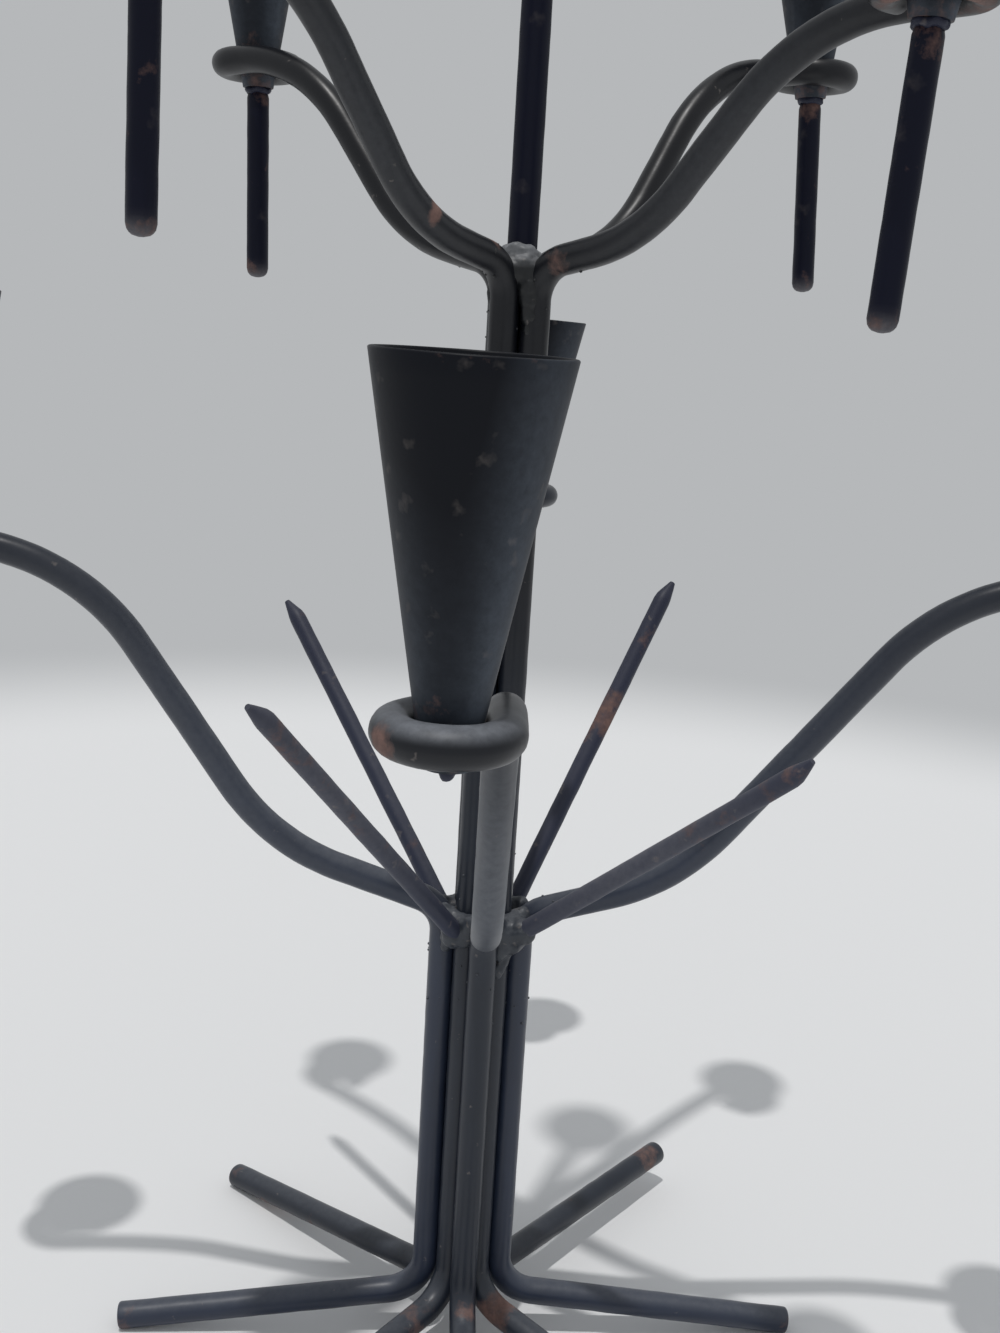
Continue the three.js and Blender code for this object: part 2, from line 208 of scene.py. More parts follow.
def chalk_and_sheen_cover(tree, patterns, below, pale_chalk_and_sheen):
    """A pale cover over a colour: chalk, dust, film and painted sheen. Its share comes back too, because it
    dulls the gloss.
    """
    normal = add_node(tree, "ShaderNodeNewGeometry").outputs["Normal"]
    facing = add_node(tree, "ShaderNodeSeparateXYZ", {"Vector": normal}).outputs["Z"]
    upward = add_node(tree, "ShaderNodeMapRange", {
        "Value": facing, "From Min": UPWARD_FROM, "From Max": UPWARD_FULL}, interpolation_type="SMOOTHSTEP")
    settled = add_node(tree, "ShaderNodeMath", {
        0: patterns["low_down"], 1: TOP_CHALK, 2: patterns["dust"]}, operation="MULTIPLY_ADD")
    covered = add_node(tree, "ShaderNodeMath", {
        0: upward, 1: settled, 2: patterns["film_and_sheen"]}, operation="MULTIPLY_ADD")
    share = add_node(tree, "ShaderNodeMath", {
        0: covered, 1: patterns["patches"]}, operation="MULTIPLY", use_clamp=True)
    colour = add_node(tree, "ShaderNodeMix", {
        "Factor_Float": share, "A_Color": below, "B_Color": linear(pale_chalk_and_sheen)}, data_type="RGBA")
    return colour, share


# %% [markdown]
# Small pale flecks show where grit stuck in the wet paint or a chip came off. A Voronoi pattern holds one
# fleck per cell, noise in its coordinates makes the flecks ragged, and a draw per cell leaves some cells
# empty. Dots from a plain noise would run together.

# %% Layer 3: specks
SPECK_COLOUR = "#857d78"
SPECK_SHARE = 0.6
SPECK_WANDER = 5.0
SPECK_HEART = 0.2


def specked(tree, patterns, below, spacing, radius, strength):
    """Flecks over a colour, with spacing and radius in millimetres."""
    reach = Vector((1, 1, 1)) * SPECK_WANDER * MM
    astray = add_node(tree, "ShaderNodeVectorMath", {
        0: patterns["wander"].outputs["Color"], 1: reach, 2: patterns["place"]}, operation="MULTIPLY_ADD")
    cells = add_node(tree, "ShaderNodeTexVoronoi", {"Vector": astray, "Scale": per_metre(spacing)}).outputs
    edge = radius / spacing
    near = add_node(tree, "ShaderNodeMapRange", {
        "Value": cells["Distance"], "From Min": edge, "From Max": SPECK_HEART * edge, "To Max": strength})
    draw = add_node(tree, "ShaderNodeSeparateColor", {"Color": cells["Color"]}).outputs["Red"]
    chosen = add_node(tree, "ShaderNodeMath", {0: draw, 1: SPECK_SHARE}, operation="LESS_THAN")
    whole = add_node(tree, "ShaderNodeMath", {0: near, 1: chosen}, operation="MULTIPLY")
    share = add_node(tree, "ShaderNodeMath", {0: whole, 1: patterns["patches"]}, operation="MULTIPLY")
    return add_node(tree, "ShaderNodeMix", {
        "Factor_Float": share, "A_Color": below, "B_Color": linear(SPECK_COLOUR)}, data_type="RGBA")


# %% [markdown]
# Rust comes through where the painted wear and a scabby noise together pass a limit. Worn spots get
# ragged edges that way, and a few stray scabs turn up by themselves. Old rust is nearly as dark as the
# paint, and it is paler where the wear is strong.

# %% Layer 4: rust
DARK_RUST = "#2e2426"
PALE_RUST = "#8b6c63"
WEAR_LIFTS = 0.4
RUST_FROM = 0.74
RUST_FULL = 0.98
MOST_RUST = 0.9
WORN_PALER = 0.2


def rusted(tree, patterns, below, rust):
    """Rust over a colour, and its share. The amount of rust lowers the limit."""
    lifted = add_node(tree, "ShaderNodeMath", {
        0: patterns["wear"], 1: WEAR_LIFTS, 2: patterns["scab"]}, operation="MULTIPLY_ADD")
    share = add_node(tree, "ShaderNodeMapRange", {
        "Value": lifted, "From Min": RUST_FROM - rust, "From Max": RUST_FULL - rust, "To Max": MOST_RUST})
    paled = add_node(tree, "ShaderNodeMath", {
        0: patterns["wear"], 1: WORN_PALER, 2: patterns["grit"]}, operation="MULTIPLY_ADD", use_clamp=True)
    scabs = add_node(tree, "ShaderNodeMix", {
        "Factor_Float": paled, "A_Color": linear(DARK_RUST), "B_Color": linear(PALE_RUST)}, data_type="RGBA")
    colour = add_node(tree, "ShaderNodeMix", {
        "Factor_Float": share, "A_Color": below, "B_Color": scabs}, data_type="RGBA")
    return colour, share


# %% [markdown]
# Gloss and relief follow the layers. Bare paint keeps its satin, a little uneven from the brush, chalk,
# film and painted sheen take about half of it away, and rust is matt. The surface steps down where the
# paint has come off, and what is left of it has a faint peel.

# %% Gloss and relief
CHALK_DULLS = 0.5
MATT = 0.8
SMOOTHER = 0.05
ROUGHER = 0.07
PAINT_FILM = 0.12
PEEL_SHARE = 0.35
RELIEF_STRENGTH = 0.6


def gloss(tree, patterns, roughness, chalk_and_sheen_share, rust_share):
    """Roughness round a middle value, matt where rust lies and half matt under chalk, film and painted
    sheen.
    """
    dull_chalk_and_sheen = add_node(tree, "ShaderNodeMath", {0: chalk_and_sheen_share, 1: CHALK_DULLS}, operation="MULTIPLY")
    dull = add_node(tree, "ShaderNodeMath", {0: rust_share, 1: dull_chalk_and_sheen}, operation="MAXIMUM")
    brushed = add_node(tree, "ShaderNodeMapRange", {
        "Value": patterns["cloud"], "From Min": CLOUD_LOW, "From Max": CLOUD_HIGH,
        "To Min": roughness - SMOOTHER, "To Max": roughness + ROUGHER})
    return add_node(tree, "ShaderNodeMix", {"Factor_Float": dull, "A_Float": brushed, "B_Float": MATT})


def relief(tree, patterns, rust_share):
    """The step at the edge of the paint, and its peel, as a bump."""
    whole = add_node(tree, "ShaderNodeMath", {0: rust_share, 1: -1.0, 2: 1.0}, operation="MULTIPLY_ADD")
    height = add_node(tree, "ShaderNodeMath", {
        0: patterns["peel"], 1: PEEL_SHARE, 2: whole}, operation="MULTIPLY_ADD")
    return add_node(tree, "ShaderNodeBump", {
        "Height": height, "Strength": RELIEF_STRENGTH, "Distance": PAINT_FILM * MM})


# %% [markdown]
# One function lays the layers over each other, in the order in which they came to the real thing.

# %% The whole enamel


def worn_enamel(name, fresh, grey, pale_chalk_and_sheen, roughness, shine, rust, specks):
    """One finish. Specks are their spacing and radius in millimetres, and their strength."""
    material = bpy.data.materials.new(name)
    material.use_nodes = True
    tree = material.node_tree
    patterns = shared_patterns(tree)
    paint = greyed_and_bounce_lit(tree, patterns, fresh, grey)
    chalk_and_sheen_covered, chalk_and_sheen_share = chalk_and_sheen_cover(tree, patterns, paint, pale_chalk_and_sheen)
    flecked = specked(tree, patterns, chalk_and_sheen_covered, *specks)
    colour, rust_share = rusted(tree, patterns, flecked, rust)
    feed(tree, tree.nodes["Principled BSDF"], {
        "Base Color": colour, "Specular IOR Level": shine,
        "Roughness": gloss(tree, patterns, roughness, chalk_and_sheen_share, rust_share),
        "Normal": relief(tree, patterns, rust_share)})
    return material


# %% [markdown]
# Six finishes cover the object. The three outer bars at the sides and the back have greyed to a bluer
# tone than the front bar and the core bars. Cups and rods took thicker paint and stay black with little
# shine. The spikes, handled and knocked, show the most brown, and the rough welds took the paint badly.

# %% Six finishes
# A blue-grey satin: a soft line of light runs along each bend and shows how it turns.
outer_paint = worn_enamel(
    "greyed_enamel_on_outer_bar", fresh="#151b27", grey="#283144", pale_chalk_and_sheen="#84878c",
    roughness=0.34, shine=0.5, rust=0.03, specks=(8.0, 0.8, 0.6))
# The same satin, black high up and a plain dark grey low down, so the stem grows darker towards the top.
# The grey low down is partly painted bounce light from the floor.
core_paint = worn_enamel(
    "satin_enamel_on_core_bar", fresh="#080a11", grey="#252b36", pale_chalk_and_sheen="#777b82",
    roughness=0.34, shine=0.42, rust=0.03, specks=(8.0, 0.8, 0.6))
# Blue-black with hardly any light on it: the rods look like dark strokes against the pale ground.
rod_paint = worn_enamel(
    "black_enamel_on_round_rod", fresh="#070b20", grey="#1c212d", pale_chalk_and_sheen="#6c6a6e",
    roughness=0.4, shine=0.2, rust=0.03, specks=(9.0, 2.6, 0.14))
# Deep black without glare. Faint flecks give the eye something to follow round the smooth cone.
# Its pale colour also makes the painted sheen on the flanks: a painted reflection of the bright floor.
cup_paint = worn_enamel(
    "black_enamel_on_rolled_sheet", fresh="#060a14", grey="#0a101a", pale_chalk_and_sheen="#4c535d",
    roughness=0.42, shine=0.2, rust=0.02, specks=(6.0, 1.7, 0.22))
# Thin, dusty and brown in places: the spikes look older and rougher than the bars beside them.
worn_paint = worn_enamel(
    "worn_enamel_on_thin_rod", fresh="#25283a", grey="#303548", pale_chalk_and_sheen="#85858a",
    roughness=0.5, shine=0.35, rust=0.06, specks=(5.0, 1.3, 0.5))
# Paler than the bars and thick with specks: the lumps of the welds stand out from the smooth steel.
weld_paint = worn_enamel(
    "thin_enamel_on_weld_metal", fresh="#101316", grey="#363b43", pale_chalk_and_sheen="#9c9fa4",
    roughness=0.4, shine=0.5, rust=0.05, specks=(4.0, 1.0, 0.6))
print("finishes:", [material.name for material in bpy.data.materials if "enamel" in material.name])

# %% [markdown]
# ## Places from the frame
# Rods, spikes and cups are all long and round, so their axis is the longest direction of their corners.
# It can be read from each solid, however the piece leans, and the loops follow from the cups in them.

# %% Read cups and rods


def axis_ends(node):
    """The two ends of a round piece's axis in millimetres, the lower one first."""
    corners = np.array([vertex.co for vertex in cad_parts[node].data.vertices]) / MM
    corners = np.unique(corners.round(3), axis=0)
    middle = corners.mean(axis=0)
    axis = np.linalg.svd(corners - middle)[2][0]
    axis *= np.sign(axis[2])
    places = (corners - middle) @ axis
    return middle + axis * places.min(), middle + axis * places.max()


cup_nodes = [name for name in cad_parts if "cup" in name and "tip" not in name]
for node in cup_nodes:
    low, high = axis_ends(node)
    lean = math.degrees(math.atan2(high[0] - low[0], high[2] - low[2]))
    print(node, "leans", round(lean, 1), "degrees to the right")

# %% [markdown]
# ## The bending schedule
# A smith bends a bar from straights and arcs, so its centre line is walked in the same way: go straight,
# bend to a new slope, swing the bending plane, and wind the loop. A free-hand curve through a few points
# would look softer than bent steel. Each arc is taken in short chords whose corners lie on it.

# %% Walk along a bar
CHORD_ANGLE = math.radians(3)


class Course:
    """Centre line of a bar in millimetres. Slope is above the level, azimuth is from +X."""

    def __init__(self, start, azimuth, slope):
        self.points = [np.array(start, float)]
        self.azimuth = azimuth
        self.slope = slope

    def straight(self, length):
        """A straight in the direction of the moment."""
        level = math.cos(self.slope)
        way = [level * math.cos(self.azimuth), level * math.sin(self.azimuth), math.sin(self.slope)]
        self.points.append(self.points[-1] + length * np.array(way))

    def bend_to(self, slope, radius):
        """An upright bend to a new slope."""
        steps = math.ceil(abs(slope - self.slope) / CHORD_ANGLE)
        turn = (slope - self.slope) / steps
        for _ in range(steps):
            self.slope += turn / 2
            self.straight(2 * radius * math.sin(abs(turn) / 2))
            self.slope += turn / 2

    def wind(self, angle, radius):
        """A level loop, clockwise as seen from above."""
        steps = math.ceil(angle / CHORD_ANGLE)
        turn = angle / steps
        for _ in range(steps):
            self.azimuth -= turn / 2
            self.straight(2 * radius * math.sin(turn / 2))
            self.azimuth -= turn / 2


# %% [markdown]
# The four core bars stand in a square and the four outer bars nest between them. Both kinds follow one
# schedule with heights and radii of their own, in millimetres, and a slope of the first straight of the
# arm, in degrees. A loop stops where its end comes up to the side of its own arm.

# %% Sizes of the bundle
BAR_DIAMETER = 9.5
CLEARANCE = 0.3
LOOP_BORE = 14.5
LOOP_END_GAP = 1.0

bar_radius = BAR_DIAMETER / 2
pitch = BAR_DIAMETER + CLEARANCE
core_radius = pitch / math.sqrt(2)
outer_radius = pitch / 2 + math.sqrt(pitch ** 2 - (pitch / 2) ** 2)
loop_radius = LOOP_BORE / 2 + bar_radius
loop_turn = math.tau - math.acos((loop_radius - bar_radius - LOOP_END_GAP) / (loop_radius + bar_radius))

SIDES = ["right", "back", "left", "front"]
CORNERS = ["back_right", "back_left", "front_left", "front_right"]
LOWER_TIER = {"stem": outer_radius, "height": 157.5, "branch": 13.3, "lead": 20, "rise": 76.0, "crest": 71.0}
UPPER_TIER = {"stem": core_radius, "height": 374.5, "branch": 13.3, "lead": 12, "rise": 57.0, "crest": 66.5}
print("bars stand", round(core_radius, 2), "and", round(outer_radius, 2), "mm from the axis of the stem")

# %% [markdown]
# A foot slopes down to a tip that was ground flat on the floor. Two feet were bent and cut differently
# from the rest, and one of them doesn't touch the floor: each has its own extra reach, turn and slope.
# Two arms also leave the stem a little lower or higher than the others.

# %% Foot and stem
FOOT_REACH = 125.0
FOOT_SLOPE = 7.0
FOOT_BEND = 15.0
TIP_HEIGHT = 3.99
OWN_FEET = {"back_right": (9.8, 2.6, 1.7), "back_left": (5.0, 0.0, 6.7)}
BRANCH_MORE = {"right": -0.4, "left": 2.4}


def level_way(azimuth):
    """The level direction of an azimuth."""
    return np.array([math.cos(azimuth), math.sin(azimuth), 0.0])


def foot_and_stem(place, tier, azimuth):
    """A bar's centre line from the tip of its foot to the top of its upright part."""
    more, turn, own_slope = OWN_FEET.get(place, (0.0, 0.0, FOOT_SLOPE))
    common = math.radians(FOOT_SLOPE)
    slope = math.radians(own_slope)
    reach = FOOT_REACH - tier["stem"]
    common_run = reach - FOOT_BEND * (1 - math.sin(common))
    run = reach + more - FOOT_BEND * (1 - math.sin(slope))
    foot_azimuth = azimuth + math.radians(turn)
    tip = tier["stem"] * level_way(azimuth) + (reach + more) * level_way(foot_azimuth)
    tip[2] = TIP_HEIGHT + common_run * math.tan(common) - run * math.tan(slope)
    course = Course(tip, foot_azimuth, math.pi - slope)
    course.straight(run / math.cos(slope))
    course.bend_to(math.pi / 2, FOOT_BEND)
    course.straight(tier["height"] + BRANCH_MORE.get(place, 0.0) - course.points[-1][2])
    return course


# %% [markdown]
# The frame says where each cup is, and a cone wedges in its loop where its wall meets the round of the
# bar. So only the slopes and radii of the bends are written here, and the two straights of an arm follow
# from where it has to arrive: what the bends leave of its run and of its climb is shared between them.

# %% Where a cup is wedged
CUP_END_DIAMETER = 11.0
CUP_RIM_DIAMETER = 42.0


def cup_seat(cup):
    """Middle of the loop that a cup is wedged in, from the cup's axis and taper."""
    low, high = axis_ends(cup)
    height = np.linalg.norm(high - low)
    taper = math.atan((CUP_RIM_DIAMETER - CUP_END_DIAMETER) / 2 / height)
    seat_radius = loop_radius - (bar_radius + CLEARANCE) / math.cos(taper)
    sink = (seat_radius - CUP_END_DIAMETER / 2) / math.tan(taper)
    return low + (high - low) * sink / height


print("front loop lies round", cup_seat("lower_cup_front").round(1), "mm")

# %% Arm and loop
RISE_SLOPE = {
    "right": 53.3, "back": 58.6, "left": 56.3, "front": 55.8,
    "back_right": 54.4, "back_left": 48.9, "front_left": 49.9, "front_right": 48.4,
}
LEVEL_RUN = {
    "right": 6.3, "back": 6.6, "left": 5.4, "front": 8.7,
    "back_right": 7.8, "back_left": 6.2, "front_left": 1.5, "front_right": 10.4,
}


def add_arm(course, place, tier, loop_middle):
    """The arm and the loop, so that the loop ends up round its cup."""
    aim = loop_middle - course.points[-1]
    run = math.sqrt(aim[0] ** 2 + aim[1] ** 2 - loop_radius ** 2)
    course.azimuth = math.atan2(aim[1], aim[0]) + math.atan2(loop_radius, run)
    lead = math.radians(tier["lead"])
    rise = math.radians(RISE_SLOPE[place])
    bends_run = (tier["branch"] * (1 - math.sin(lead)) + tier["rise"] * (math.sin(rise) - math.sin(lead))
                 + tier["crest"] * math.sin(rise))
    bends_climb = (tier["branch"] * math.cos(lead) + tier["rise"] * (math.cos(lead) - math.cos(rise))
                   + tier["crest"] * (1 - math.cos(rise)))
    slopes = [[math.cos(lead), math.cos(rise)], [math.sin(lead), math.sin(rise)]]
    left_over = [run - bends_run - LEVEL_RUN[place], aim[2] - bends_climb]
    lead_length, rise_length = np.linalg.solve(slopes, left_over)

    course.bend_to(lead, tier["branch"])
    course.straight(lead_length)
    course.bend_to(rise, tier["rise"])
    course.straight(rise_length)
    course.bend_to(0, tier["crest"])
    course.straight(LEVEL_RUN[place])
    course.wind(loop_turn, loop_radius)
    return np.array(course.points)


# %% Lay out the eight bars
bar_paths = {}
for number, side in enumerate(SIDES):
    course = foot_and_stem(side, LOWER_TIER, math.pi / 2 * number)
    bar_paths["lower_bar_" + side] = add_arm(course, side, LOWER_TIER, cup_seat("lower_cup_" + side))
for number, corner in enumerate(CORNERS):
    course = foot_and_stem(corner, UPPER_TIER, math.pi / 4 + math.pi / 2 * number)
    bar_paths["upper_bar_" + corner] = add_arm(course, corner, UPPER_TIER, cup_seat("upper_cup_" + corner))
for name, path in bar_paths.items():
    print(name, "is cut from", round(np.linalg.norm(np.diff(path, axis=0), axis=1).sum()), "mm of bar")

# %% [markdown]
# ## Round bar by Geometry Nodes
# Bars, rods and spikes are all a round section that follows a path, so one node tree makes them all:
# Mesh to Curve, then Curve to Mesh with a circle. The girth attribute narrows the section at filed ends
# and points. A modelled tube for each would be the same work many times over.

# %% Sweep a round section


def new_tree(name, inputs):
    """A geometry tree with one geometry in and out, and named inputs with their defaults."""
    tree = bpy.data.node_groups.new(name, "GeometryNodeTree")
    tree.interface.new_socket("Geometry", in_out="INPUT", socket_type="NodeSocketGeometry")
    for label, (kind, value) in inputs.items():
        socket = tree.interface.new_socket(label, in_out="INPUT", socket_type="NodeSocket" + kind)
        if value is not None:
            socket.default_value = value
    tree.interface.new_socket("Geometry", in_out="OUTPUT", socket_type="NodeSocketGeometry")
    return tree, add_node(tree, "NodeGroupInput").outputs


bar_tree, given = new_tree("round_bar", {
    "Diameter": ("Float", BAR_DIAMETER * MM),
    "Sides": ("Int", 32),
    "Unevenness": ("Float", 0.1 * MM),
    "Grain": ("Float", 9.0 * MM),
    "Floor": ("Float", 0.0),
    "Finish": ("Material", None),
})
curve = add_node(bar_tree, "GeometryNodeMeshToCurve", {"Mesh": given["Geometry"]})
half = add_node(bar_tree, "ShaderNodeMath", {0: given["Diameter"], 1: 0.5}, operation="MULTIPLY")
ring = add_node(bar_tree, "GeometryNodeCurvePrimitiveCircle", {"Resolution": given["Sides"], "Radius": half})
girth = add_node(bar_tree, "GeometryNodeInputNamedAttribute", {"Name": "girth"}, data_type="FLOAT")
skin = add_node(bar_tree, "GeometryNodeCurveToMesh", {
    "Curve": curve, "Profile Curve": ring, "Scale": girth, "Fill Caps": True})

# %% [markdown]
# A low noise leaves the surface as uneven as hot-rolled stock, and nothing goes below the floor, where
# the feet were ground flat. Every tree then ends in the same way, as plain geometry with its finish.

# %% Roughen the bar and stand it on the floor


def end_tree(tree, shape, finish):
    """Ends a tree: instances made real, smooth shading, and the finish."""
    real = add_node(tree, "GeometryNodeRealizeInstances", {"Geometry": shape})
    smooth = add_node(tree, "GeometryNodeSetShadeSmooth", {"Geometry": real})
    finished = add_node(tree, "GeometryNodeSetMaterial", {"Geometry": smooth, "Material": finish})
    add_node(tree, "NodeGroupOutput", {"Geometry": finished})
    print(tree.name, "tree:", len(tree.nodes), "nodes")


frequency = add_node(bar_tree, "ShaderNodeMath", {0: 1.0, 1: given["Grain"]}, operation="DIVIDE")
swell = add_node(bar_tree, "ShaderNodeTexNoise", {"Scale": frequency, "Detail": 2.0}, normalize=False)
amount = add_node(bar_tree, "ShaderNodeMath", {0: swell, 1: given["Unevenness"]}, operation="MULTIPLY")
normal = add_node(bar_tree, "GeometryNodeInputNormal").outputs["Normal"]
outward = add_node(bar_tree, "ShaderNodeVectorMath", {"Vector": normal, "Scale": amount}, operation="SCALE")
uneven = add_node(bar_tree, "GeometryNodeSetPosition", {"Geometry": skin, "Offset": outward})
place = add_node(bar_tree, "GeometryNodeInputPosition")
where = add_node(bar_tree, "ShaderNodeSeparateXYZ", {"Vector": place}).outputs
kept = add_node(bar_tree, "ShaderNodeMath", {0: where["Z"], 1: given["Floor"]}, operation="MAXIMUM")
standing = add_node(bar_tree, "ShaderNodeCombineXYZ", {"X": where["X"], "Y": where["Y"], "Z": kept})
ground = add_node(bar_tree, "GeometryNodeSetPosition", {"Geometry": uneven, "Position": standing})
end_tree(bar_tree, ground, given["Finish"])

# %% [markdown]
# A path is a mesh of points and edges that carries two attributes: how far along the bar a point lies,
# and its girth. Points stand close together where an end edge is rounded, and further apart elsewhere.

# %% Points along a path
POINT_SPACING = 2.0
FINE_SHARES = np.array([0.0, 0.12, 0.3, 0.55, 1.0])


def stations(length, edge):
    """Distances along a bar, close together where its end edges are rounded."""
    inner = np.linspace(edge, length - edge, max(2, round(length / POINT_SPACING)))
    return np.unique(np.concatenate([FINE_SHARES * edge, inner, length - FINE_SHARES * edge]).round(4))


def resample(path, distances):
    """Points of a path at the given distances along it."""
    steps = np.linalg.norm(np.diff(path, axis=0), axis=1)
    along = np.concatenate([[0], np.cumsum(steps)])
    return np.column_stack([np.interp(distances, along, path[:, axis]) for axis in range(3)])


def rounded_girth(distances, radius, edge):
    """Share of the full radius where both end edges are filed to a quarter round."""
    depth = np.clip(edge - np.minimum(distances, distances[-1] - distances), 0, edge)
    return 1 - (edge - np.sqrt(edge ** 2 - depth ** 2)) / radius


# %% [markdown]
# The tree runs as a modifier, and its result is kept as a plain mesh. A finished piece is then tied to the
# part in place of the solids that it stands for.

# %% Attributes and objects


def set_attribute(mesh, name, values):
    """Writes one number per point."""
    attribute = mesh.attributes.get(name) or mesh.attributes.new(name, "FLOAT", "POINT")
    attribute.data.foreach_set("value", np.asarray(values, np.float32))


def shown(name, data):
    """A new object in the scene."""
    thing = bpy.data.objects.new(name, data)
    bpy.context.scene.collection.objects.link(thing)
    return thing


# %% Grow a bar along its path


def grown(name, mesh, tree, values):
    """Runs a node tree on a mesh and keeps the result as a plain object."""
    piece = shown(name, mesh)
    modifier = piece.modifiers.new("grow", "NODES")
    modifier.node_group = tree
    for item in tree.interface.items_tree:
        if item.in_out == "INPUT" and item.name in values:
            modifier[item.identifier] = values[item.name]
    depsgraph = bpy.context.evaluated_depsgraph_get()
    result = bpy.data.meshes.new_from_object(
        piece.evaluated_get(depsgraph), preserve_all_data_layers=True, depsgraph=depsgraph)
    piece.modifiers.remove(modifier)
    piece.data = result
    bpy.data.meshes.remove(mesh)
    return piece


def round_bar(name, points, distances, shares, **values):
    """A round bar along points, with the given shares of its girth."""
    mesh = bpy.data.meshes.new(name)
    edges = [(i, i + 1) for i in range(len(points) - 1)]
    mesh.from_pydata([tuple(point * MM) for point in points], edges, [])
    set_attribute(mesh, "along", distances)
    set_attribute(mesh, "girth", shares)
    return grown(name, mesh, bar_tree, values)


# %% Tie a piece to the part


def dressed(piece, slot, *nodes):
    """Puts a finished piece on the part in place of its solids."""
    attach(piece, "root")
    if nodes:
        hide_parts(*nodes)
    return piece


# %% [markdown]
# ## Where the paint has gone
# Rust gathers where water sits or where the thing was knocked: at the roots of the feet, on the spikes
# and at the ends of the hanging rods. Each worn spot is a distance along its piece in millimetres, a
# A distance below zero counts back from the far end, and a spot on one side of a bar also names that
# side. The sum of these humps becomes the wear attribute that the enamel reads. Dust and film are drawn
# in the same way, where a strength below zero takes some away. The film is partly grey film and partly
# painted sheen.

# %% Worn, dusty and filmed spots
WORN = {
    "lower_bar_front": [(107, 5, 1.7, "front"), (-31, 3.5, 1.5, "left"), (-1, 2, 0.8)],
    "upper_bar_front_right": [(107, 9, 1.1), (488, 5, 1.2, "front"), (-32, 24, 1.5, "down"), (2, 3, 0.4)],
    "upper_bar_front_left": [(489, 4, 1.3, "up"), (519, 2.8, 2.4, "right"), (100, 10, 0.6), (2, 3, 0.4)],
    "upper_bar_back_right": [(11, 8, 0.95), (60, 12, 0.25)],
    "upper_bar_back_left": [(3, 5, 0.6), (24, 12, 1.4, "down"), (52, 10, 0.4)],
    "lower_bar_right": [(2, 4, 0.5)],
    "lower_bar_left": [(2, 4, 0.5), (14, 9, 1.0, "down")],
    "spike_back_right": [(78, 12, 0.95), (112, 10, 0.45), (-3, 5, 0.35)],
    "spike_front_left": [(70, 30, 0.35), (118, 16, 0.55)],
    "spike_back_left": [(-6, 7, 0.35), (30, 14, 0.25)],
    "spike_front_right": [(90, 28, 0.35), (-6, 9, 0.6)],
    "drop_rod": [(3, 5, 0.55), (-4, 6, 0.7), (34, 16, 0.2)],
    "cup": [(0, 6, 0.6), (12, 7, 0.5), (-0.4, 0.7, 0.2)],
}
DUSTY = {
    "lower_bar_front": [(-42, 20, 1.15), (-10, 16, 0.6)],
    "upper_bar_back_right": [(40, 60, -0.3)],
}
# Film is partly grey film and partly painted sheen. Where it faces the front on the two upper front arms it
# is painted sheen only: a painted reflection of the bright floor.
FILM_AND_SHEEN_SPOTS = {
    "lower_bar_front": [(345, 66, 0.66)],
    "upper_bar_front_left": [(555, 60, 0.22, "front")],
    "upper_bar_front_right": [(555, 60, 0.22, "front")],
    "lower_bar_left": [(350, 90, 0.2)],
    "lower_bar_right": [(350, 90, 0.12)],
    "spike_front_left": [(85, 60, 0.38)],
    "spike_front_right": [(60, 60, 0.38)],
    "drop_rod": [(0.5, 3.0, 0.95)],
}
print("pieces with worn spots:", len(WORN), "dusty:", len(DUSTY), "filmed:", len(FILM_AND_SHEEN_SPOTS))

# %% Paint the spots
FACING = {"up": (0, 0, 1), "down": (0, 0, -1), "front": (0, -1, 0), "left": (-1, 0, 0), "right": (1, 0, 0)}
LEAST_PAINTED = -1
MOST_PAINTED = 2


def get_attribute(mesh, name):
    """Reads one number per point."""
    values = np.zeros(len(mesh.vertices), np.float32)
    mesh.attributes[name].data.foreach_get("value", values)
    return values


def paint_spots(piece, name, spots):
    """Writes an attribute as humps over the along attribute."""
    along = get_attribute(piece.data, "along")
    normals = np.array([vertex.normal for vertex in piece.data.vertices])
    total = np.zeros_like(along)
    for middle, spread, strength, *side in spots:
        if middle < 0:
            middle += along.max()
        hump = strength * np.exp(-((along - middle) / spread) ** 2)
        total += hump * (np.clip(normals @ FACING[side[0]], 0, 1) if side else 1)
    set_attribute(piece.data, name, np.clip(total, LEAST_PAINTED, MOST_PAINTED))


def weather(piece, name):
    """Paints wear, dust, and film with its painted sheen, from the spots under a name."""
    for attribute, spots in {"wear": WORN, "dust": DUSTY, "film_and_sheen": FILM_AND_SHEEN_SPOTS}.items():
        paint_spots(piece, attribute, spots.get(name, []))


# %% [markdown]
# Each bar is grown along its path and painted, and then measured: how far its points lie at most from the
# solid that it stands for is printed.

# %% Make the eight bars
BAR_EDGE = 1.0
GREYED_BARS = ["lower_bar_right", "lower_bar_back", "lower_bar_left"]
bars = []
for name, path in bar_paths.items():
    length = np.linalg.norm(np.diff(path, axis=0), axis=1).sum()
    distances = stations(length, BAR_EDGE)
    shares = rounded_girth(distances, bar_radius, BAR_EDGE)
    finish = outer_paint if name in GREYED_BARS else core_paint
    bar = round_bar(name + "_skin", resample(path, distances), distances, shares, Finish=finish)
    weather(bar, name)
    bars.append(dressed(bar, "bar_paint", name))
    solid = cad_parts[name].data
    surface = BVHTree.FromPolygons([v.co for v in solid.vertices], [p.vertices for p in solid.polygons])
    apart = max(surface.find_nearest(vertex.co)[3] for vertex in bar.data.vertices) / MM
    print(bar.name, len(bar.data.polygons), "faces, at most", round(apart, 2), "mm from its solid")

